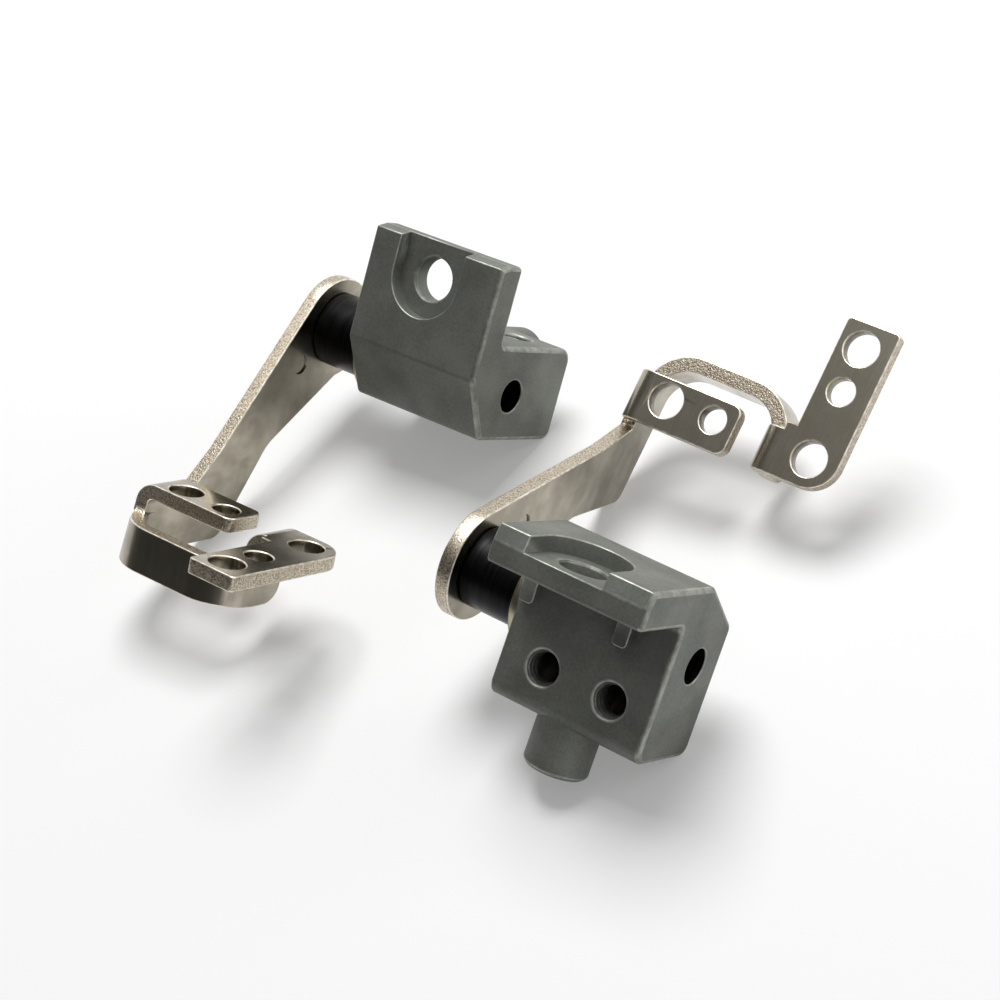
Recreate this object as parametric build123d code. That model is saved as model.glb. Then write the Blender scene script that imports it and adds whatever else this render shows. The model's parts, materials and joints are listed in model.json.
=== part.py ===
import os
from math import cos, radians, sin, sqrt, tan

from build123d import *

# One hinge is drawn in its own frame: X runs along the shaft from the arm into the housing, with 0 on the
# arm's inner face, Y points to the back and Z out of the housing's screw plate. Sizes are in mm and angles
# in degrees.

# Die-cast housing, its section seen along the shaft
HOUSING_LENGTH = 12.5
PLATE_TOP = 5.9
PLATE_THICKNESS = 2.8
BODY_BOTTOM = 7.15
FRONT_FACE = 4.0
LIP_REACH = 6.4
BACK_FACE = 3.7
CHAMFER_RUN = 4.8
CHAMFER_DROP = 3.1
LIP_BEVEL = 0.3
LIP_RADIUS = 0.4
CORNER_FILLET = 0.6
BODY_RADIUS = 0.9
FRONT_RADIUS = 1.2
CHAMFER_RADIUS = 0.8

# Screw seat sunk in the plate and open at the lip's edge
SEAT_WIDTH = 6.3
SEAT_DEPTH = 1.2
SEAT_INSET = 3.0
SEAT_OFFSET = 0.6
PLATE_HOLE = 3.4
EDGE_BREAK = 0.15

# Front face: two tapped holes, and two pads under the lip
TAP_DRILL = 2.5
TAP_DEPTH = 2.8
TAP_SPACING = 5.6
TAP_DROP = 3.75
TAP_COUNTERSINK = 0.15
PAD_WIDTH = 1.2
PAD_HEIGHT = 3.0
PAD_PROUD = 0.6
PAD_INSET = 0.75
PAD_SPACING = 7.8
PAD_RADIUS = 0.35

# Locating post under the housing
POST_DIAMETER = 4.8
POST_LENGTH = 3.6
POST_OFFSET = 0.6
POST_SETBACK = 0.2
POST_CHAMFER = 0.3
POST_ROOT = 0.15

# Turned shaft, thrust washer and friction clips
COLLAR_DIAMETER = 6.1
COLLAR_LENGTH = 5.0
COLLAR_CHAMFER = 0.15
JOURNAL_DIAMETER = 3.2
TENON_DIAMETER = 3.8
TENON_FLATS = 2.8
STAKE_DIAMETER = 4.8
STAKE_HEIGHT = 0.6
STAKE_CHAMFER = 0.4
WASHER_THICKNESS = 0.6
WASHER_DIAMETER = 7.9
CLIP_COUNT = 6
CLIP_THICKNESS = 1.4
CLIP_WALL = 0.65
CLIP_GAP = 50.0
TOE_WIDTH = 1.2
TOE_REACH = 0.8
END_HOLE = 2.7

# Folded arm, in its own frame about the shaft: Y across to the tabs' plane, Z along the long tab
SHEET = 1.2
EYE_RADIUS = 4.25
ARM_SLOPE = 35.0
NECK_Y = 9.6
NECK_Z = 6.15
NECK_RADIUS = 2.0
SPLAY = 6.5
THROAT = 3.85
HEEL_Y = 17.7
HEEL_Z = 9.2
HEEL_RADIUS = 1.2
TAB_LEVEL = 11.6
TAB_BEND = 0.6
SLIT = 1.4
BRIDGE_WIDTH = 3.6
CORNER_BEND = 2.8
BRIDGE_TOP = 21.75
LEG_FACE = 11.0
LEG_RADIUS = 1.6
RELIEF = 0.6
SHORT_TAB_END = 8.0
SHORT_TAB_LOW = 15.1
SHORT_TAB_WIDTH = 4.0
SHORT_TAB_RADIUS = 0.8
LONG_TAB_EDGE = 16.85
LONG_TAB_WIDTH = 4.4
LONG_TAB_LOW = 15.3
LONG_TAB_TOP = 28.5
LONG_TAB_ROOT = 3.6
LONG_TAB_HEEL = 2.4
LONG_TAB_RADIUS = 0.4
SCREW_HOLE = 2.8
PIN_HOLE = 2.2
SHORT_ROW_EDGE = 2.3
SHORT_PIN_EDGE = 1.9
SHORT_HOLE_PITCH = 4.2
LONG_ROW_EDGE = 2.4
LOW_SCREW_EDGE = 2.2
HIGH_SCREW_EDGE = 2.0
LONG_HOLE_PITCH = 3.5
DIMPLE_RADIUS = 0.85
DIMPLE_DEPTH = 0.15
DIMPLE_ALONG = 4.6
DIMPLE_ACROSS = 1.6

# Fits
JOURNAL_PLAY = 0.02
CLIP_SEAT = 0.03
CLIP_SPACE = 0.05
WASHER_PLAY = 0.08
THRUST_PLAY = 0.03
END_PLAY = 0.3

# Rest on a table: the arm's turn, then the tilt about X, the lean about Y and the heading about Z
RIGHT_TURN = 15.0
RIGHT_TILT = -43.423
RIGHT_LEAN = 7.911
RIGHT_HEADING = 0.0
RIGHT_PLACE = (6.517, -9.192)
LEFT_TURN = 5.0
LEFT_TILT = -48.755
LEFT_LEAN = -4.379
LEFT_HEADING = 179.55
LEFT_PLACE = (-23.114, 8.894)

# Places worked out from the sizes above
housing_near = COLLAR_LENGTH + THRUST_PLAY + WASHER_THICKNESS
housing_far = housing_near + HOUSING_LENGTH
housing_mid = housing_near + HOUSING_LENGTH / 2
lip_front = -FRONT_FACE - LIP_REACH
lip_under = PLATE_TOP - PLATE_THICKNESS
seat_floor = PLATE_TOP - SEAT_DEPTH
seat_x = housing_mid - SEAT_OFFSET
seat_y = lip_front + SEAT_INSET
bore_radius = JOURNAL_DIAMETER / 2 + JOURNAL_PLAY + CLIP_WALL + CLIP_SEAT
clip_pitch = CLIP_THICKNESS + CLIP_SPACE
bore_end = housing_near + CLIP_COUNT * clip_pitch + CLIP_SPACE
journal_end = bore_end - END_PLAY
post_x = housing_mid - POST_OFFSET
post_y = -FRONT_FACE + POST_SETBACK + POST_DIAMETER / 2
fold_y = TAB_LEVEL + SHEET + TAB_BEND
rim_y = TAB_LEVEL + SHEET + SLIT
free_y = rim_y + BRIDGE_WIDTH
short_top = SHORT_TAB_LOW + SHORT_TAB_WIDTH
short_row = SHORT_TAB_LOW + SHORT_ROW_EDGE
short_pin = SHORT_TAB_END - SHORT_PIN_EDGE
short_screw = short_pin - SHORT_HOLE_PITCH
long_row = LONG_TAB_EDGE - LONG_ROW_EDGE
low_screw = LONG_TAB_LOW + LOW_SCREW_EDGE
high_screw = LONG_TAB_TOP - HIGH_SCREW_EDGE
long_pin = high_screw - LONG_HOLE_PITCH
splay_slope = tan(radians(SPLAY))
fold_x = -(fold_y - NECK_Y) * splay_slope
rim_x = -(rim_y - NECK_Y) * splay_slope
corner_outer = CORNER_BEND + SHEET
strip_end = BRIDGE_TOP - corner_outer
leg_near = LEG_FACE - SHEET


def corner(sketch, point, radius):
    # Rounds the sketch's corner that lies nearest to the point
    return fillet(sketch.vertices().sort_by_distance(Vector(*point))[0], radius)


def rod(radius, start, end):
    # A cylinder along X between two places on the shaft's axis
    return Pos(start, 0, 0) * extrude(Plane.YZ * Circle(radius), end - start)


def housing_section():
    outline = Polyline(
        (lip_front, lip_under),
        (lip_front, seat_floor),
        (lip_front + LIP_BEVEL, PLATE_TOP),
        (BACK_FACE - CHAMFER_RUN, PLATE_TOP),
        (BACK_FACE, PLATE_TOP - CHAMFER_DROP),
        (BACK_FACE, -BODY_BOTTOM),
        (-FRONT_FACE, -BODY_BOTTOM),
        (-FRONT_FACE, lip_under),
        close=True,
    )
    section = make_face(outline)
    section = corner(section, (lip_front, lip_under), LIP_RADIUS)
    section = corner(section, (BACK_FACE - CHAMFER_RUN, PLATE_TOP), CHAMFER_RADIUS)
    section = corner(section, (BACK_FACE, PLATE_TOP - CHAMFER_DROP), CHAMFER_RADIUS)
    section = corner(section, (BACK_FACE, -BODY_BOTTOM), BODY_RADIUS)
    section = corner(section, (-FRONT_FACE, -BODY_BOTTOM), FRONT_RADIUS)
    return corner(section, (-FRONT_FACE, lip_under), CORNER_FILLET)


def screw_seat():
    # A round seat with straight sides out to the lip's edge, and the screw's hole below it
    reach = SEAT_INSET + LIP_BEVEL
    outline = Circle(SEAT_WIDTH / 2) + Pos(0, -reach / 2) * Rectangle(SEAT_WIDTH, reach)
    seat = Pos(seat_x, seat_y, seat_floor) * extrude(outline, SEAT_DEPTH)
    hole = Pos(seat_x, seat_y, lip_under) * extrude(Circle(PLATE_HOLE / 2), PLATE_THICKNESS)
    rim = Pos(seat_x, seat_y, seat_floor - EDGE_BREAK / 2)
    lead = rim * Cone(PLATE_HOLE / 2, PLATE_HOLE / 2 + EDGE_BREAK, EDGE_BREAK)
    return seat + hole + lead


def tapped_hole():
    # Drilled from the front face towards +Y, with a drill point and a countersink
    radius = TAP_DRILL / 2
    point = radius / tan(radians(59))
    outline = Polyline(
        (0, 0),
        (radius + TAP_COUNTERSINK, 0),
        (radius, TAP_COUNTERSINK),
        (radius, TAP_DEPTH - point),
        (0, TAP_DEPTH),
        close=True,
    )
    return revolve(make_face(outline), Axis.Y)


def front_pad():
    outline = Pos(0, -PAD_HEIGHT / 2) * Rectangle(PAD_WIDTH, PAD_HEIGHT)
    outline = fillet(outline.vertices().sort_by(Axis.Y)[:2], PAD_RADIUS)
    return extrude(Plane.XZ * outline, PAD_PROUD)


def shaft_bore():
    # Keyed bore that holds the clips, with the small core hole through to the far end
    bore = rod(bore_radius, housing_near, bore_end)
    slot_top = bore_radius + TOE_REACH + CLIP_SEAT
    slot_width = TOE_WIDTH + 2 * CLIP_SEAT
    slot = Pos(housing_near, 0, slot_top / 2) * Box(
        bore_end - housing_near, slot_width, slot_top, align=(Align.MIN, Align.CENTER, Align.CENTER)
    )
    return bore + slot + rod(END_HOLE / 2, bore_end, housing_far)


def post():
    # Turned about its own axis: chamfered end, straight wall and a drafted root that runs up into the body
    radius = POST_DIAMETER / 2
    root = radius + POST_ROOT
    top = POST_LENGTH + FRONT_RADIUS
    outline = Polyline(
        (0, 0),
        (radius - POST_CHAMFER, 0),
        (radius, POST_CHAMFER),
        (radius, POST_LENGTH - POST_ROOT),
        (root, top),
        (0, top),
        close=True,
    )
    return revolve(Plane.XZ * make_face(outline), Axis.Z)


def make_housing():
    body = Pos(housing_near, 0, 0) * extrude(Plane.YZ * housing_section(), HOUSING_LENGTH)
    body += Pos(post_x, post_y, -BODY_BOTTOM - POST_LENGTH) * post()
    pad_start = housing_near + PAD_INSET
    for place in (pad_start, pad_start + PAD_SPACING):
        body += Pos(place, -FRONT_FACE, lip_under) * front_pad()
    body -= screw_seat()
    for side in (-1, 1):
        body -= Pos(housing_mid + side * TAP_SPACING / 2, -FRONT_FACE, -TAP_DROP) * tapped_hole()
    return body - shaft_bore()


def make_shaft():
    # Staked head, flatted tenon through the arm's eye, collar and journal, all turned from one bar
    stake = rod(STAKE_DIAMETER / 2, -SHEET - STAKE_HEIGHT, -SHEET)
    stake = chamfer(stake.edges().sort_by(Axis.X)[0], STAKE_CHAMFER)
    tenon = Pos(-SHEET, 0, 0) * extrude(Plane.YZ * tenon_section(), SHEET)
    collar = chamfer(rod(COLLAR_DIAMETER / 2, 0, COLLAR_LENGTH).edges(), COLLAR_CHAMFER)
    journal = rod(JOURNAL_DIAMETER / 2, COLLAR_LENGTH, journal_end)
    return stake + tenon + collar + journal


def tenon_section():
    return Circle(TENON_DIAMETER / 2) & Rectangle(TENON_FLATS, TENON_DIAMETER)


def make_washer():
    washer = rod(WASHER_DIAMETER / 2, housing_near - WASHER_THICKNESS, housing_near)
    return washer - rod(JOURNAL_DIAMETER / 2 + WASHER_PLAY, housing_near - WASHER_THICKNESS, housing_near)


def make_clip(index):
    # Spring band, split at the bottom, with a toe that keys in the housing's slot
    inner = JOURNAL_DIAMETER / 2 + JOURNAL_PLAY
    outer = inner + CLIP_WALL
    toe = Pos(0, outer + TOE_REACH / 2 - CLIP_WALL / 2) * Rectangle(TOE_WIDTH, TOE_REACH + CLIP_WALL)
    half_gap = outer * tan(radians(CLIP_GAP / 2))
    gap = make_face(Polyline((0, 0), (half_gap, -outer), (-half_gap, -outer), close=True))
    band = Circle(outer) + toe - Circle(inner) - Pos(0, -CLIP_SEAT) * gap
    start = housing_near + CLIP_SPACE + index * clip_pitch
    return Pos(start, 0, 0) * extrude(Plane.YZ * band, CLIP_THICKNESS)


def arm_outline():
    # Eye, sloping neck and the upright strip that carries the folds, in the plane across the shaft
    along = Vector(cos(radians(ARM_SLOPE)), sin(radians(ARM_SLOPE)))
    across = Vector(-along.Y, along.X)
    top_start = across * EYE_RADIUS
    notch = SHORT_TAB_LOW - RELIEF
    top_end = top_start + along * ((notch - top_start.Y) / along.Y)
    throat = Vector(NECK_Y, NECK_Z)
    throat_reach = sqrt(throat.length**2 - THROAT**2)
    throat_start = throat * (1 - throat_reach**2 / throat.length**2)
    throat_start += Vector(throat.Y, -throat.X) * (THROAT * throat_reach / throat.length**2)
    blade = make_face(
        Polyline(
            (0, 0),
            (top_start.X, top_start.Y),
            (top_end.X, top_end.Y),
            (fold_y, notch),
            (fold_y, short_top),
            (rim_y, short_top),
            (rim_y, strip_end),
            (free_y, strip_end),
            (HEEL_Y, HEEL_Z),
            (NECK_Y, NECK_Z),
            (throat_start.X, throat_start.Y),
            close=True,
        )
    )
    blade = corner(blade, (HEEL_Y, HEEL_Z), HEEL_RADIUS)
    blade = corner(blade, (NECK_Y, NECK_Z), NECK_RADIUS)
    return blade + Circle(EYE_RADIUS)


def bent_sheet():
    # The arm's sheet, flat round the eye and splayed outwards beyond the neck
    reach = free_y - NECK_Y
    splay = -reach * splay_slope
    section = Polyline(
        (0, -EYE_RADIUS),
        (0, NECK_Y),
        (splay, free_y),
        (splay - SHEET, free_y),
        (-SHEET, NECK_Y),
        (-SHEET, -EYE_RADIUS),
        close=True,
    )
    return Pos(0, 0, -EYE_RADIUS) * extrude(make_face(section), EYE_RADIUS + BRIDGE_TOP)


def fold(low, width):
    # Quarter bend of the sheet from the strip's plane into the tabs' plane, its outer side on -X and -Y
    outer = TAB_BEND + SHEET
    quarter = Rectangle(outer, outer, align=(Align.MAX, Align.MAX))
    ring = (Circle(outer) - Circle(TAB_BEND)) & quarter
    return Pos(outer - SHEET, fold_y, low) * extrude(ring, width)


def tab(outline):
    # A flat tab drawn in X and Z, its outer face on the tabs' plane
    return Pos(0, TAB_LEVEL + SHEET, 0) * extrude(Plane.XZ * outline, SHEET)


def hole(diameter, x, z):
    return tab(Pos(x, z) * Circle(diameter / 2))


def bridge():
    # The strip turns round a corner, runs along the shaft and turns back down as the long tab's leg
    ring = Circle(corner_outer) - Circle(CORNER_BEND)
    first = ring & Rectangle(corner_outer, corner_outer, align=(Align.MAX, Align.MIN))
    second = ring & Rectangle(corner_outer, corner_outer, align=(Align.MIN, Align.MIN))
    start = rim_x + CORNER_BEND
    end = LEG_FACE - corner_outer
    splayed = Plane.XZ * (Pos(start, strip_end) * first)
    lean = Vector(-splay_slope, 1, 0)
    turn = Pos(0, rim_y, 0) * extrude(splayed, BRIDGE_WIDTH * lean.length, dir=lean)
    beam_start = start - BRIDGE_WIDTH * splay_slope
    flat = make_face(
        Polyline((start, rim_y), (end, rim_y), (end, free_y), (beam_start, free_y), close=True)
    )
    beam = Pos(0, 0, BRIDGE_TOP - SHEET) * extrude(flat, SHEET)
    leg_length = strip_end - LONG_TAB_LOW
    leg = Pos(end, strip_end) * second
    leg += Pos(leg_near + SHEET / 2, LONG_TAB_LOW + leg_length / 2) * Rectangle(SHEET, leg_length)
    hanger = Pos(0, free_y, 0) * extrude(Plane.XZ * leg, BRIDGE_WIDTH)
    heel = hanger.edges().filter_by(Axis.X).group_by(Axis.Z)[0].sort_by(Axis.Y)[-1]
    return turn + beam + fillet(heel, LEG_RADIUS)


def short_tab():
    start = fold_x + TAB_BEND
    length = SHORT_TAB_END - start
    outline = Pos(start, SHORT_TAB_LOW) * Rectangle(length, SHORT_TAB_WIDTH, align=Align.MIN)
    outline = fillet(outline.vertices().sort_by(Axis.X)[-2:], SHORT_TAB_RADIUS)
    blank = tab(outline) + Pos(fold_x, 0, 0) * fold(SHORT_TAB_LOW, SHORT_TAB_WIDTH)
    blank -= hole(SCREW_HOLE, short_screw, short_row)
    return blank - hole(PIN_HOLE, short_pin, short_row)


def long_tab():
    root = leg_near + TAB_BEND + SHEET
    side = LONG_TAB_EDGE - LONG_TAB_WIDTH
    step = LONG_TAB_LOW + LONG_TAB_ROOT
    outline = make_face(
        Polyline(
            (root, LONG_TAB_LOW),
            (LONG_TAB_EDGE, LONG_TAB_LOW),
            (LONG_TAB_EDGE, LONG_TAB_TOP),
            (side, LONG_TAB_TOP),
            (side, step + RELIEF),
            (root, step + RELIEF),
            close=True,
        )
    )
    outline = corner(outline, (LONG_TAB_EDGE, LONG_TAB_LOW), LONG_TAB_HEEL)
    outline = corner(outline, (LONG_TAB_EDGE, LONG_TAB_TOP), LONG_TAB_RADIUS)
    outline = corner(outline, (side, LONG_TAB_TOP), LONG_TAB_RADIUS)
    web = Pos(leg_near, fold_y, LONG_TAB_LOW) * Box(SHEET, rim_y - fold_y, LONG_TAB_ROOT, align=Align.MIN)
    blank = tab(outline) + web + Pos(LEG_FACE, 0, 0) * fold(LONG_TAB_LOW, LONG_TAB_ROOT)
    blank -= hole(PIN_HOLE, long_row, long_pin)
    for height in (low_screw, high_screw):
        blank -= hole(SCREW_HOLE, long_row, height)
    return blank


def make_arm():
    blank = extrude(Plane.YZ * arm_outline(), SHEET + EYE_RADIUS)
    plate = bent_sheet() & (Pos(-SHEET - EYE_RADIUS, 0, 0) * blank)
    plate -= Pos(-SHEET, 0, 0) * extrude(Plane.YZ * tenon_section(), SHEET)
    along = radians(ARM_SLOPE)
    dimple_y = DIMPLE_ALONG * cos(along) - DIMPLE_ACROSS * sin(along)
    dimple_z = DIMPLE_ALONG * sin(along) + DIMPLE_ACROSS * cos(along)
    dimple = extrude(Plane.YZ * Circle(DIMPLE_RADIUS), DIMPLE_DEPTH)
    plate -= Pos(-DIMPLE_DEPTH, dimple_y, dimple_z) * dimple
    return plate + bridge() + short_tab() + long_tab()


def make_hinge(turn):
    # The arm and shaft turn together about X; the rest stays with the housing
    swing = Rot(-turn, 0, 0)
    pieces = {
        "housing": make_housing(),
        "thrust_washer": make_washer(),
        "shaft": swing * make_shaft(),
        "arm": swing * make_arm(),
    }
    for index in range(CLIP_COUNT):
        pieces[f"friction_clip_{index + 1}"] = make_clip(index)
    return pieces


def lay_down(pieces, tilt, lean, heading, place):
    # Turns a hinge into its resting attitude and sets its lowest point on the table
    attitude = Rot(0, 0, heading) * Rot(0, lean, 0) * Rot(tilt, 0, 0)
    turned = {name: attitude * piece for name, piece in pieces.items()}
    low = min(piece.bounding_box().min.Z for piece in turned.values())
    return {name: Pos(place[0], place[1], -low) * piece for name, piece in turned.items()}


right = lay_down(make_hinge(RIGHT_TURN), RIGHT_TILT, RIGHT_LEAN, RIGHT_HEADING, RIGHT_PLACE)
left_hand = {name: mirror(piece, about=Plane.YZ) for name, piece in make_hinge(LEFT_TURN).items()}
left = lay_down(left_hand, LEFT_TILT, LEFT_LEAN, LEFT_HEADING, LEFT_PLACE)

os.makedirs("parts", exist_ok=True)
for side, pieces in (("right", right), ("left", left)):
    for name, piece in pieces.items():
        export_step(piece, f"parts/{side}_{name}.step")
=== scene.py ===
import json
import math

import bmesh
import bpy
import numpy as np
from mathutils import Matrix, Vector
from mathutils.bvhtree import BVHTree

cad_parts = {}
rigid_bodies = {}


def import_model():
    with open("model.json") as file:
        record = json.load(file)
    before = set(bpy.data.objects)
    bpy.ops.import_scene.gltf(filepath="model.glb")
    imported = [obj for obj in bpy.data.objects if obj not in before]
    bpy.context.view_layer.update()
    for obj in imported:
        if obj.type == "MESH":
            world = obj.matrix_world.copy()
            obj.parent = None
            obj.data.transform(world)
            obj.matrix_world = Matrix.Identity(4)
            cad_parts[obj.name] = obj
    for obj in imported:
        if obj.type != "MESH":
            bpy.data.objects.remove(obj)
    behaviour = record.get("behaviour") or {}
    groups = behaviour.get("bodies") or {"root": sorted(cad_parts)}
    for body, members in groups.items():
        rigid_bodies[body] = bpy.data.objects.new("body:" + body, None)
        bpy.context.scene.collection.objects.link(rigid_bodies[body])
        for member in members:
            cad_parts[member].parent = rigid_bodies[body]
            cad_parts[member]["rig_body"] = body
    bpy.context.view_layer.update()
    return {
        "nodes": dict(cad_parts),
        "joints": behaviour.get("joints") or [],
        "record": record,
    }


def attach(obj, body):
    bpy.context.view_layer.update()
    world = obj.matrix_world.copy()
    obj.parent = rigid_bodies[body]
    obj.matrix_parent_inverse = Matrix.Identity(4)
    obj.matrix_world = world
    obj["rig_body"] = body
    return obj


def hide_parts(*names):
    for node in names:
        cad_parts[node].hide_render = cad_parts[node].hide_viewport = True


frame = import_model()
scene = bpy.context.scene
mm = 0.001
sides = ("right", "left")
white = (1, 1, 1, 1)


def linear(hexColour):
    # sRGB hex to linear RGBA
    parts = np.array([int(hexColour[i:i + 2], 16) for i in (1, 3, 5)]) / 255
    parts = np.where(parts <= 0.04045, parts / 12.92, ((parts + 0.055) / 1.055) ** 2.4)
    return (*(float(part) for part in parts), 1.0)


def addObject(name, data):
    thing = bpy.data.objects.new(name, data)
    scene.collection.objects.link(thing)
    return thing


def shadeSmooth(mesh):
    mesh.polygons.foreach_set("use_smooth", np.ones(len(mesh.polygons), bool))


def setStops(ramp, stops):
    # A ramp's colours from (place, hex) pairs
    while len(ramp.elements) < len(stops):
        ramp.elements.new(0.5)  # moved to its place below
    for element, (place, colour) in zip(ramp.elements, stops):
        element.position = place
        element.color = linear(colour)


def addNode(tree, kind, settings=None, **links):
    # One node: settings are its properties or a ramp's stops, links are socket values, outputs, or nodes
    # that stand for their first output; in0, in1 and so on name a socket by its number
    node = tree.nodes.new(kind)
    for name, value in (settings or {}).items():
        if name == "stops":
            setStops(node.color_ramp, value)
        else:
            setattr(node, name, value)
    for name, value in links.items():
        socket = node.inputs[int(name[2:]) if name[2:].isdigit() else name.replace("_", " ")]
        if isinstance(value, bpy.types.Node):
            value = value.outputs[0]
        if isinstance(value, bpy.types.NodeSocket):
            tree.links.new(value, socket)
        else:
            socket.default_value = value
    return node


def newMaterial(name):
    material = bpy.data.materials.new(name)
    material.use_nodes = True
    material.node_tree.nodes.clear()
    return material, material.node_tree


# Camera, matched to the photograph's perspective, place and sensor in mm, clip in m
cameraView = {
    "place": (105.874, -92.3025, 130.4776),
    "right": (0.7792101, 0.5829335, -0.2302610),
    "up": (-0.2743256, 0.6475229, 0.7109568),
    "lens": 88.568,
    "sensor": 36.0,
    "clip": (0.005, 20.0),
}


def makeCamera():
    camera = addObject("camera", bpy.data.cameras.new("camera"))
    right, up = Vector(cameraView["right"]), Vector(cameraView["up"])
    axes = Matrix((right, up, right.cross(up))).transposed()
    camera.matrix_world = Matrix.Translation(Vector(cameraView["place"]) * mm) @ axes.to_4x4()
    camera.data.lens = cameraView["lens"]
    camera.data.sensor_width = cameraView["sensor"]
    camera.data.clip_start, camera.data.clip_end = cameraView["clip"]
    scene.camera = camera


makeCamera()
print("camera set")


# Each hinge's own axes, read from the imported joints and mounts
def hingeAxes(side):
    hand = 1 if side == "right" else -1
    joint = next(j for j in frame["joints"] if j["name"] == side + "_lid_hinge")
    mounts = {m["name"]: m for m in frame["record"]["mounts"]}

    def axis(name):
        return np.array(mounts[side + name]["axis"])

    along = -hand * np.array(joint["axis"])
    armY = -axis("_tab_face")
    return {
        "origin": np.array(joint["pos_m"]),
        "housing": np.array([along, -axis("_front_taps"), axis("_plate_hole")]),
        "swing": np.array([along, armY, hand * np.cross(along, armY)]),
        "taps": np.array(mounts[side + "_front_taps"]["pos_m"]),
    }


axesOf = {side: hingeAxes(side) for side in sides}
leftShift = 100.0  # keeps the left hinge's texture apart from the right one's


def toLocal(points, side, body):
    # World places in m to the hinge's own axes in mm
    return (points - axesOf[side]["origin"]) @ axesOf[side][body].T / mm


def markPlaces(mesh, side, body):
    # Point attribute "place": each vertex in its hinge's own axes, in mm
    points = np.empty(len(mesh.vertices) * 3, np.float32)
    mesh.vertices.foreach_get("co", points)
    local = toLocal(points.reshape(-1, 3), side, body)
    local[:, 0] += leftShift * (side == "left")
    attribute = mesh.attributes.new("place", "FLOAT_VECTOR", "POINT")
    attribute.data.foreach_set("vector", local.astype(np.float32).ravel())


# Materials: patterns lie in the hinge's own axes, their sizes and depths in mm
placeData = {"attribute_name": "place"}
fineShare = 0.5

zincLook = {
    "tumbledZincCasting": {"grit": 0.22, "mottle": 4.0, "stops": ((0.55, "#6d6f69"), (0.95, "#83857f")),
                           "roughness": 0.66, "depth": 0.02},
    # Rounded edges and thread ridges: lighter, partly rubbed wear and partly painted highlight
    "rubbedZincEdgeAndHighlight": {"grit": 0.3, "mottle": 0.9, "stops": ((0.55, "#7c7e78"), (0.95, "#a1a29a")),
                       "roughness": 0.5, "depth": 0.01},
}


def makeZinc(name):
    # Die-cast zinc, tumbled: dull grey, softly mottled, with a fine pebbled skin; edges painted lighter,
    # partly as rubbed wear and partly as painted highlight
    look = zincLook[name]
    material, tree = newMaterial(name)
    place = addNode(tree, "ShaderNodeAttribute", placeData).outputs["Vector"]
    mottle = addNode(tree, "ShaderNodeTexNoise", None, Vector=place, Scale=1 / look["mottle"], Detail=4.0)
    grit = addNode(tree, "ShaderNodeTexNoise", None, Vector=place, Scale=1 / look["grit"], Detail=3.0)
    both = addNode(tree, "ShaderNodeMath", {"operation": "MULTIPLY_ADD"},
                   in0=grit, in1=fineShare, in2=mottle)
    colour = addNode(tree, "ShaderNodeValToRGB", {"stops": look["stops"]}, Fac=both)
    bump = addNode(tree, "ShaderNodeBump", None, Height=grit, Strength=0.5, Distance=look["depth"] * mm)
    bsdf = addNode(tree, "ShaderNodeBsdfPrincipled", None, Base_Color=colour, Metallic=1.0,
                   Roughness=look["roughness"], Normal=bump)
    addNode(tree, "ShaderNodeOutputMaterial", None, Surface=bsdf)
    return material


nickelLook = {
    "cloud": 2.4, "streakWidth": 0.14, "streakLength": 3.0, "stops": ((0.6, "#968f81"), (0.9, "#b0aa9b")),
    "roughness": (0.24, 0.17), "depth": 0.006,
}


def makeNickel():
    # Nickel-plated steel sheet, rolled then plated: warm grey shine with clouding and faint rolling streaks,
    # which are drawn coarser than the real ones so that they show
    look = nickelLook
    material, tree = newMaterial("nickelPlatedSheet")
    place = addNode(tree, "ShaderNodeAttribute", placeData).outputs["Vector"]
    across, along = 1 / look["streakWidth"], 1 / look["streakLength"]
    grain = addNode(tree, "ShaderNodeMapping", None, Vector=place, Scale=(across, along, along))
    streak = addNode(tree, "ShaderNodeTexNoise", None, Vector=grain, Scale=1.0, Detail=2.0)
    cloud = addNode(tree, "ShaderNodeTexNoise", None, Vector=place, Scale=1 / look["cloud"], Detail=5.0)
    both = addNode(tree, "ShaderNodeMath", {"operation": "MULTIPLY_ADD"},
                   in0=streak, in1=fineShare, in2=cloud)
    colour = addNode(tree, "ShaderNodeValToRGB", {"stops": look["stops"]}, Fac=both)
    low, high = (stop[0] for stop in look["stops"])
    dull, bright = look["roughness"]
    rough = addNode(tree, "ShaderNodeMapRange", None, Value=both, From_Min=low, From_Max=high,
                    To_Min=dull, To_Max=bright)
    bump = addNode(tree, "ShaderNodeBump", None, Height=streak, Strength=0.3, Distance=look["depth"] * mm)
    bsdf = addNode(tree, "ShaderNodeBsdfPrincipled", None, Base_Color=colour, Metallic=1.0,
                   Roughness=rough, Normal=bump)
    addNode(tree, "ShaderNodeOutputMaterial", None, Surface=bsdf)
    return material


shearLook = {
    "grain": 0.12, "stops": ((0.35, "#877b6a"), (0.62, "#d6cbb9")), "roughness": 0.34, "depth": 0.045,
}


def makeShear():
    # Sheared edge of the plated sheet: torn grain under the plate, bright specks on brown
    look = shearLook
    material, tree = newMaterial("shearedSheetEdge")
    place = addNode(tree, "ShaderNodeAttribute", placeData).outputs["Vector"]
    grain = addNode(tree, "ShaderNodeTexNoise", None, Vector=place, Scale=1 / look["grain"], Detail=3.0)
    colour = addNode(tree, "ShaderNodeValToRGB", {"stops": look["stops"]}, Fac=grain)
    bump = addNode(tree, "ShaderNodeBump", None, Height=grain, Strength=0.8, Distance=look["depth"] * mm)
    bsdf = addNode(tree, "ShaderNodeBsdfPrincipled", None, Base_Color=colour, Metallic=1.0,
                   Roughness=look["roughness"], Normal=bump)
    addNode(tree, "ShaderNodeOutputMaterial", None, Surface=bsdf)
    return material


# Near-white rounded edges of the sheet: partly burnished wear, partly painted highlight
burnishAndHighlightLook = {"cloud": 0.5, "stops": ((0.4, "#c9bfae"), (0.6, "#efe8da")), "roughness": 0.3}


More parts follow.
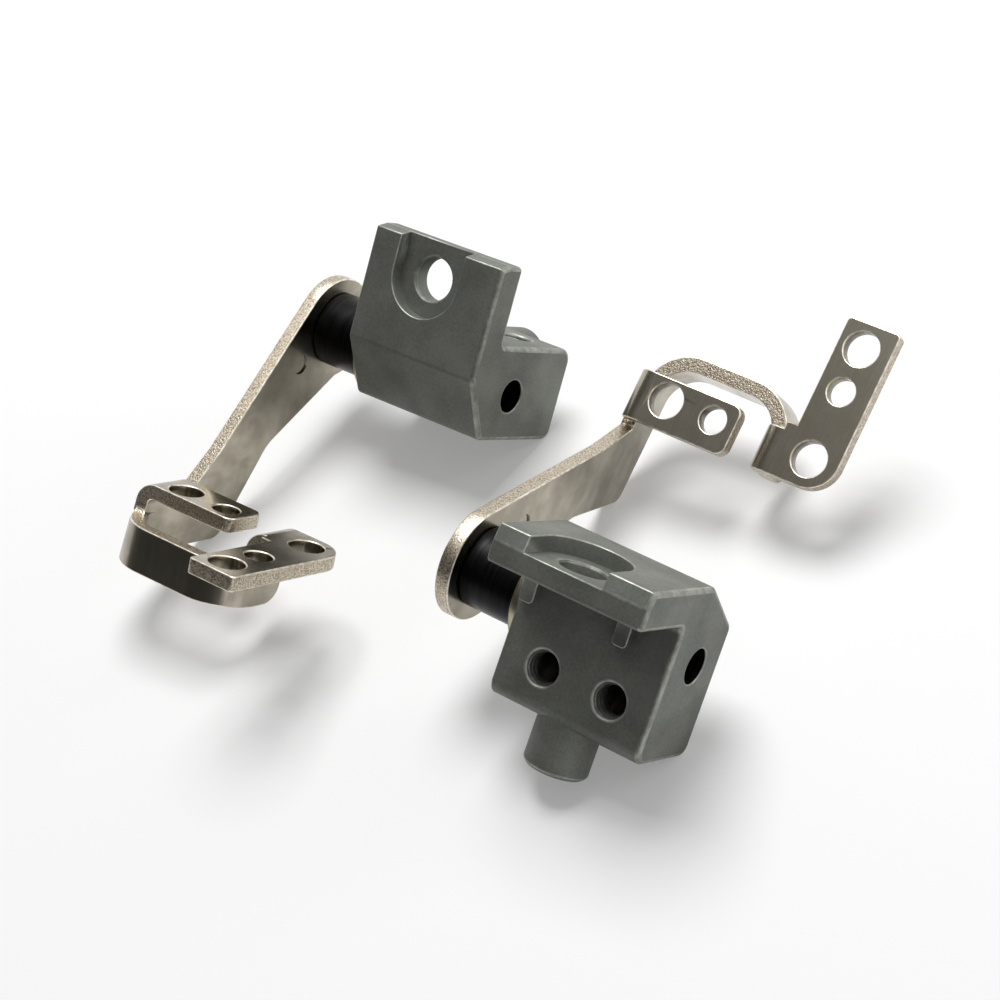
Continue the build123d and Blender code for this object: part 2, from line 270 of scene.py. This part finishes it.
def makeBurnishAndHighlight():
    # Edge rubbed round by the die and in use: painted brighter than the flat of the sheet, partly as
    # burnished wear and partly as painted highlight, without its streaks
    look = burnishAndHighlightLook
    material, tree = newMaterial("burnishedEdgeAndHighlight")
    place = addNode(tree, "ShaderNodeAttribute", placeData).outputs["Vector"]
    cloud = addNode(tree, "ShaderNodeTexNoise", None, Vector=place, Scale=1 / look["cloud"], Detail=2.0)
    colour = addNode(tree, "ShaderNodeValToRGB", {"stops": look["stops"]}, Fac=cloud)
    bsdf = addNode(tree, "ShaderNodeBsdfPrincipled", None, Base_Color=colour, Metallic=1.0,
                   Roughness=look["roughness"])
    addNode(tree, "ShaderNodeOutputMaterial", None, Surface=bsdf)
    return material


turnedLook = {
    "blackOxideSteel": {"stops": ((0.35, "#151515"), (0.65, "#212122")), "roughness": 0.36, "ring": 0.25},
    # Walls of the punched holes in the tabs: darker painted shade for the shade inside the holes
    "shadedPunchedHoleWall": {"stops": ((0.35, "#5d564a"), (0.65, "#8b8474")), "roughness": 0.3, "ring": 0.3},
    # Bore and tapped-hole bottoms: near-black painted shade for the shade inside them
    "paintedShadeInHoles": {"stops": ((0.35, "#121110"), (0.65, "#262420")), "roughness": 0.5, "ring": 0.3},
    "washerSteel": {"stops": ((0.35, "#8f8876"), (0.65, "#b9b19c")), "roughness": 0.3, "ring": 0.1},
    "oiledSpringSteel": {"stops": ((0.35, "#505050"), (0.65, "#6c6c6c")), "roughness": 0.35, "ring": 0.2},
}
latheLook = {"across": 0.3, "depth": 0.008}


def makeTurned(name):
    # Turned, bored or punched metal: fine rings along the hinge's axis under a thin film of oil or oxide; the
    # hole walls and the bore are painted darker as shade
    look = turnedLook[name]
    material, tree = newMaterial(name)
    place = addNode(tree, "ShaderNodeAttribute", placeData).outputs["Vector"]
    rings = addNode(tree, "ShaderNodeMapping", None, Vector=place,
                    Scale=(1 / look["ring"], latheLook["across"], latheLook["across"]))
    lathe = addNode(tree, "ShaderNodeTexNoise", None, Vector=rings, Scale=1.0, Detail=3.0)
    colour = addNode(tree, "ShaderNodeValToRGB", {"stops": look["stops"]}, Fac=lathe)
    bump = addNode(tree, "ShaderNodeBump", None, Height=lathe, Strength=0.4, Distance=latheLook["depth"] * mm)
    bsdf = addNode(tree, "ShaderNodeBsdfPrincipled", None, Base_Color=colour, Metallic=1.0,
                   Roughness=look["roughness"], Normal=bump)
    addNode(tree, "ShaderNodeOutputMaterial", None, Surface=bsdf)
    return material


zinc, zincEdgeAndHighlight = [makeZinc(name) for name in zincLook]
nickel = makeNickel()
sheared = makeShear()
burnishAndHighlight = makeBurnishAndHighlight()
blackened, holeWallShade, holeShade, washerSteel, spring = [makeTurned(name) for name in turnedLook]
print("materials made")


# Pieces: each CAD node's copy with its sharp edges rounded, radii in mm
pieceLook = {
    "housing": {"body": "housing", "width": 0.35, "segments": 4, "slot": "zinc_casting",
                "finish": (zinc, holeShade, zincEdgeAndHighlight)},
    "arm": {"body": "swing", "width": 0.1, "segments": 2, "slot": "nickel_plated_sheet",
            "finish": (nickel, sheared, holeWallShade, burnishAndHighlight)},
    "shaft": {"body": "swing", "width": 0.06, "segments": 2, "slot": "blackened_steel",
              "finish": (blackened,)},
    "thrust_washer": {"body": "housing", "width": 0.08, "segments": 2, "slot": "washer_steel",
                      "finish": (washerSteel,)},
    "friction_clip": {"body": "housing", "width": 0.05, "segments": 2, "slot": "spring_steel",
                      "finish": (spring,)},
}
# Places in the hinge's own axes, in mm: the sheet's thickness, the tabs' two levels, the ledge's level and
# top, the casting's bore, lip and tapped holes, and the dimple in the arm
sheet = {"least": 1.0, "most": 1.25, "tabs": (11.6, 12.8), "ledge": (14.2, 19.15)}
casting = {"smallShare": 0.3, "boreReach": 3.4, "lip": (-10.4, 4.7)}
taps = {"spacing": 5.6, "drop": 3.75, "reach": 1.4, "bottom": -2.1}
dimple = {"y": 2.85, "z": 3.95, "reach": 1.0}
near, margin = 0.02, 0.01
# Lengths in m
weldGap, rayGap = 1e-7, 1e-6
sharpAngle, flatAngle, hollowAngle = math.radians(28), math.radians(0.4), -0.02
keen = {"angle": math.radians(30), "reach": 1.3}
oppositeCosine = -0.97


def inDimple(y, z):
    return np.hypot(y - dimple["y"], z - dimple["z"]).max() < dimple["reach"]


def edgeShare(kind, far, pair):
    # Share of the piece's full edge radius for an edge between two places in the hinge's own axes
    x, y, z = pair.T
    if kind == "arm":
        return 0.0 if inDimple(y, z) else 1.0
    if kind == "housing":
        outer = np.hypot(y, z).min() > casting["boreReach"]
        return 1.0 if outer and abs(x - far).max() < near else casting["smallShare"]
    return 1.0


def isSharp(kind, edge, pair):
    # Hollow corners stay as they are, and the faint line along the casting's lip is rounded and painted
    # lighter, partly as rubbed wear and partly as painted highlight
    lipY, lipZ = casting["lip"]
    onLip = np.hypot(pair[:, 1] - lipY, pair[:, 2] - lipZ).max() < near
    return edge.is_convex and (edge.calc_face_angle(0) > sharpAngle or (kind == "housing" and onLip))


def weighEdges(bm, local, kind):
    # Bevel weights on the sharp edges, but none in the thin end of a face by a keen corner; an edge that
    # stays sharp is shaded so
    far = local[:, 0].max()
    weights = bm.edges.layers.float.new("bevel_weight_edge")
    for edge in bm.edges:
        pair = local[[v.index for v in edge.verts]]
        if isSharp(kind, edge, pair):
            edge[weights] = edgeShare(kind, far, pair)
    for loop in (loop for face in bm.faces for loop in face.loops):
        pair = loop.edge, loop.link_loop_prev.edge
        if loop.calc_angle() < keen["angle"] and all(edge.calc_face_angle(0) > sharpAngle for edge in pair):
            thin = [v for v in loop.face.verts if (v.co - loop.vert.co).length < keen["reach"] * mm]
            for edge in (edge for v in thin for edge in v.link_edges):
                edge[weights] = 0
    for edge in bm.edges:
        share = edgeShare(kind, far, local[[v.index for v in edge.verts]])
        edge.smooth = edge[weights] > 0 or share == 0 or edge.calc_face_angle(0) < sharpAngle


def markShear(bm, local):
    # A face is a sheet face if a ray straight into it leaves through a parallel face one sheet's thickness
    # on, and so are the dimple and the ledge by the tabs' folds; a cut face in the tabs that curves inwards
    # is a hole's wall, painted darker as shade
    tree = BVHTree.FromBMesh(bm)
    low, high = sheet["tabs"]
    ledgeY, ledgeTop = sheet["ledge"]
    for face in bm.faces:
        start = face.calc_center_median() - face.normal * rayGap
        hit, normal, _, distance = tree.ray_cast(start, -face.normal)
        oneSheet = hit and sheet["least"] * mm < distance < sheet["most"] * mm
        through = oneSheet and normal.dot(face.normal) < oppositeCosine
        _, y, z = local[[v.index for v in face.verts]].T
        onLedge = abs(y - ledgeY).max() < near and z.max() < ledgeTop
        inTab = y.min() > low - margin and y.max() < high + margin
        hollow = any(edge.calc_face_angle_signed(0) < hollowAngle for edge in face.edges)
        ofSheet = through or inDimple(y, z) or onLedge
        face.material_index = 0 if ofSheet else 2 if inTab and hollow else 1


def markHoleShade(bm, local):
    # The shaft's bore and the bottoms of the tapped holes get painted shade: a near-black colour for the
    # shade deep inside them
    first, last = local[:, 0].min() + margin, local[:, 0].max() - margin
    middle = (first + last) / 2
    for face in bm.faces:
        x, y, z = local[[v.index for v in face.verts]].T
        inBore = first < x.mean() < last and np.hypot(y, z).max() < casting["boreReach"]
        fromTap = np.hypot(abs(x - middle) - taps["spacing"] / 2, z + taps["drop"]).max()
        inTap = fromTap < taps["reach"] and y.mean() > taps["bottom"]
        face.material_index = int(inBore or inTap)


marks = {"arm": markShear, "housing": markHoleShade}


def localPlaces(bm, side, body):
    bm.verts.index_update()
    return toLocal(np.array([v.co for v in bm.verts]), side, body)


def roundedPiece(node, side, kind):
    look = pieceLook[kind]
    mesh = frame["nodes"][node].data.copy()
    mesh.name = node + "_finished"
    piece = addObject(mesh.name, mesh)
    for name in ("custom_normal", "sharp_edge"):
        if name in mesh.attributes:
            mesh.attributes.remove(mesh.attributes[name])
    bm = bmesh.new()
    bm.from_mesh(mesh)
    bmesh.ops.remove_doubles(bm, verts=bm.verts, dist=weldGap)
    if kind in marks:
        marks[kind](bm, localPlaces(bm, side, look["body"]))
    bmesh.ops.dissolve_limit(bm, angle_limit=flatAngle, verts=bm.verts, edges=bm.edges,
                             delimit={"MATERIAL"})
    weighEdges(bm, localPlaces(bm, side, look["body"]), kind)
    mesh.materials.clear()
    for finish in look["finish"]:
        mesh.materials.append(finish)
    bm.to_mesh(mesh)
    bm.free()
    shadeSmooth(mesh)
    markPlaces(mesh, side, look["body"])
    bevel = piece.modifiers.new("roundedEdges", "BEVEL")
    bevel.width = look["width"] * mm
    bevel.segments = look["segments"]
    bevel.limit_method = "WEIGHT"
    bevel.use_clamp_overlap = bevel.loop_slide = False
    bevel.material = len(look["finish"]) - 1
    normals = piece.modifiers.new("flatFaces", "WEIGHTED_NORMAL")
    normals.keep_sharp = True
    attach(piece, frame["nodes"][node]["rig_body"])
    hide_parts(node)


for side in sides:
    for node in sorted(n for n in frame["nodes"] if n.startswith(side)):
        roundedPiece(node, side, next(kind for kind in pieceLook if kind in node))
print("pieces rounded")


# Thread ridges in the tapped holes, sizes in mm
threadLook = {
    "pitch": 0.45, "wall": 1.27, "crest": 1.08, "start": 0.28, "turns": 3.3, "steps": 169, "fadeRate": 3,
}


def makeThreads(side):
    # At turn u and v in -1..1 across the ridge: radius = wall - (wall - crest) (1 - |v|) fade(u),
    # angle = 2 pi u, turned the other way on the right, depth = start + pitch (u + v / 2)
    look = threadLook
    ridge = np.array([-1.0, 0.0, 1.0])
    wide = len(ridge)
    u, v = np.meshgrid(np.linspace(0, look["turns"], look["steps"] + 1), ridge, indexing="ij")
    fade = np.clip(look["fadeRate"] * np.minimum(u, look["turns"] - u), 0, 1)
    radius = look["wall"] - (look["wall"] - look["crest"]) * (1 - abs(v)) * fade
    angle = 2 * np.pi * u * (-1 if side == "right" else 1)
    depth = look["start"] + look["pitch"] * (u + v / 2)
    column, row = np.meshgrid(np.arange(look["steps"]), np.arange(wide - 1), indexing="ij")
    first = (wide * column + row).ravel()
    quads = np.column_stack([first, first + wide, first + wide + 1, first + 1])
    for number, place in enumerate((-1, 1)):
        across = place * taps["spacing"] / 2 + radius * np.cos(angle)
        local = np.column_stack([across.ravel(), depth.ravel(), (radius * np.sin(angle)).ravel()])
        points = axesOf[side]["taps"] + local @ axesOf[side]["housing"] * mm
        mesh = bpy.data.meshes.new(f"{side}_thread_{number + 1}")
        mesh.from_pydata(points.tolist(), [], quads.tolist())
        # The ridges take the lighter edge colour: partly rubbed wear, partly painted highlight
        mesh.materials.append(zincEdgeAndHighlight)
        shadeSmooth(mesh)
        markPlaces(mesh, side, "housing")
        thread = addObject(mesh.name, mesh)
        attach(thread, frame["nodes"][side + "_housing"]["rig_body"])


for side in sides:
    makeThreads(side)
print("threads made")


# Floor, room and light: floor and room in m, lamps in mm and W
stageLook = {
    "floorSize": 6.0, "floor": "#f2f2f2", "floorGlow": 0.25,
    "worldLevel": 0.28,
    "room": {"radius": 0.9, "height": 2.2, "from": -175, "to": -40, "points": 40,
             "stops": ((0.02, "#858585"), (0.13, "#585858"), (0.6, "#f2f2f2"))},
}
lampLook = {
    "top": {"place": (-60, 150, 420), "size": 260, "power": 1.95},
    "right": {"place": (300, 260, 160), "size": 220, "power": 0.25},
}


def stagePiece(name, verts, faces, material):
    mesh = bpy.data.meshes.new(name)
    mesh.from_pydata(verts, [], faces)
    mesh.materials.append(material)
    piece = addObject(name, mesh)
    return piece


def seenRay(tree):
    # 1 for camera, glossy and transmission rays
    path = addNode(tree, "ShaderNodeLightPath")
    seen = path.outputs["Is Camera Ray"]
    for kind in ("Is Glossy Ray", "Is Transmission Ray"):
        seen = addNode(tree, "ShaderNodeMath", {"operation": "MAXIMUM"}, in0=seen, in1=path.outputs[kind])
    return seen


def makeFloor():
    # Matt white table; part of what is seen of it is plain white, so that its shadow stays light
    material, tree = newMaterial("whiteTable")
    diffuse = addNode(tree, "ShaderNodeBsdfDiffuse", None, Color=linear(stageLook["floor"]))
    glow = addNode(tree, "ShaderNodeEmission", None, Color=white, Strength=1.0)
    share = addNode(tree, "ShaderNodeMath", {"operation": "MULTIPLY"},
                    in0=seenRay(tree), in1=stageLook["floorGlow"])
    mix = addNode(tree, "ShaderNodeMixShader", None, Fac=share, in1=diffuse, in2=glow)
    addNode(tree, "ShaderNodeOutputMaterial", None, Surface=mix)
    half = stageLook["floorSize"] / 2
    corners = [(-half, -half, 0), (half, -half, 0), (half, half, 0), (-half, half, 0)]
    stagePiece("floor", corners, [(0, 1, 2, 3)], material)


def makeRoom():
    # The dark side of the room that the metal mirrors: a curved wall, x = r cos a, y = r sin a
    look = stageLook["room"]
    count = look["points"]
    angles = np.radians(np.linspace(look["from"], look["to"], count))
    x, y = look["radius"] * np.cos(angles), look["radius"] * np.sin(angles)
    ring = np.column_stack([x, y, np.zeros(count)])
    verts = np.vstack([ring, ring + (0, 0, look["height"])])
    starts = np.arange(count - 1)
    faces = np.column_stack([starts, starts + 1, starts + count + 1, starts + count])
    material, tree = newMaterial("dimRoomWall")
    place = addNode(tree, "ShaderNodeTexCoord").outputs["Object"]
    height = addNode(tree, "ShaderNodeSeparateXYZ", None, Vector=place).outputs["Z"]
    share = addNode(tree, "ShaderNodeMapRange", None, Value=height, From_Min=0.0, From_Max=look["height"])
    colour = addNode(tree, "ShaderNodeValToRGB", {"stops": look["stops"]}, Fac=share)
    diffuse = addNode(tree, "ShaderNodeBsdfDiffuse", None, Color=colour)
    addNode(tree, "ShaderNodeOutputMaterial", None, Surface=diffuse)
    wall = stagePiece("roomWall", verts.tolist(), faces.tolist(), material)
    wall.visible_camera = False


def makeWorld():
    # White all round, dimmer as a light than as it is seen or mirrored
    world = bpy.data.worlds.new("studio")
    scene.world = world
    world.use_nodes = True
    tree = world.node_tree
    tree.nodes.clear()
    level = addNode(tree, "ShaderNodeMapRange", None, Value=seenRay(tree),
                    To_Min=stageLook["worldLevel"], To_Max=1.0)
    sky = addNode(tree, "ShaderNodeBackground", None, Color=white, Strength=level)
    addNode(tree, "ShaderNodeOutputWorld", None, Surface=sky)


def makeLamp(name, look):
    # Round soft box, aimed at the middle of the table
    data = bpy.data.lights.new(name, "AREA")
    data.shape = "DISK"
    data.size = look["size"] * mm
    data.energy = look["power"]
    lamp = addObject(name, data)
    lamp.location = Vector(look["place"]) * mm
    lamp.rotation_mode = "QUATERNION"
    lamp.rotation_quaternion = (-Vector(look["place"])).to_track_quat("-Z", "Y")


makeFloor()
makeRoom()
makeWorld()
for name, look in lampLook.items():
    makeLamp(name, look)
scene.view_settings.view_transform = "Standard"
print("stage set")
